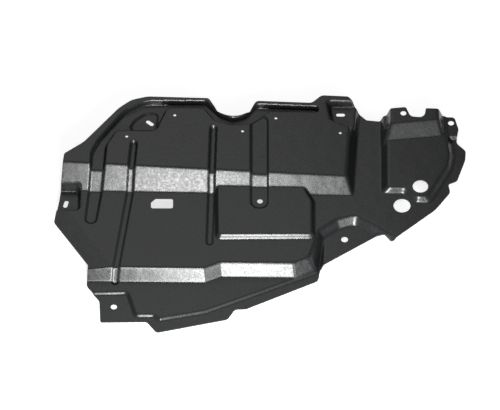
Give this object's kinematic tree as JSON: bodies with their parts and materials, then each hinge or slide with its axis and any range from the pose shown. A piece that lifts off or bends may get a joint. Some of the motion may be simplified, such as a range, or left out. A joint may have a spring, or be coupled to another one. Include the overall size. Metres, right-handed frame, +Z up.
{
  "type": "engine splash shield",
  "caption": "Stepped black plastic splash shield for the underside of an engine, with pressed beads, pads, access holes and bolt slots.",
  "frame": {"origin": "centre of the bounding box, on the plane of the lowest underside", "axes": "+X along the shield, +Y from the low front rim to the high rear rim, +Z up, square to the flats"},
  "size_m": [0.8242, 0.5338, 0.078],
  "materials": {
    "moulded_black": "semi-gloss black formed polyethylene with a faint mottle on its slopes"
  },
  "bodies": {
    "root": {"splash_shield": "moulded_black"}
  },
  "joints": []
}
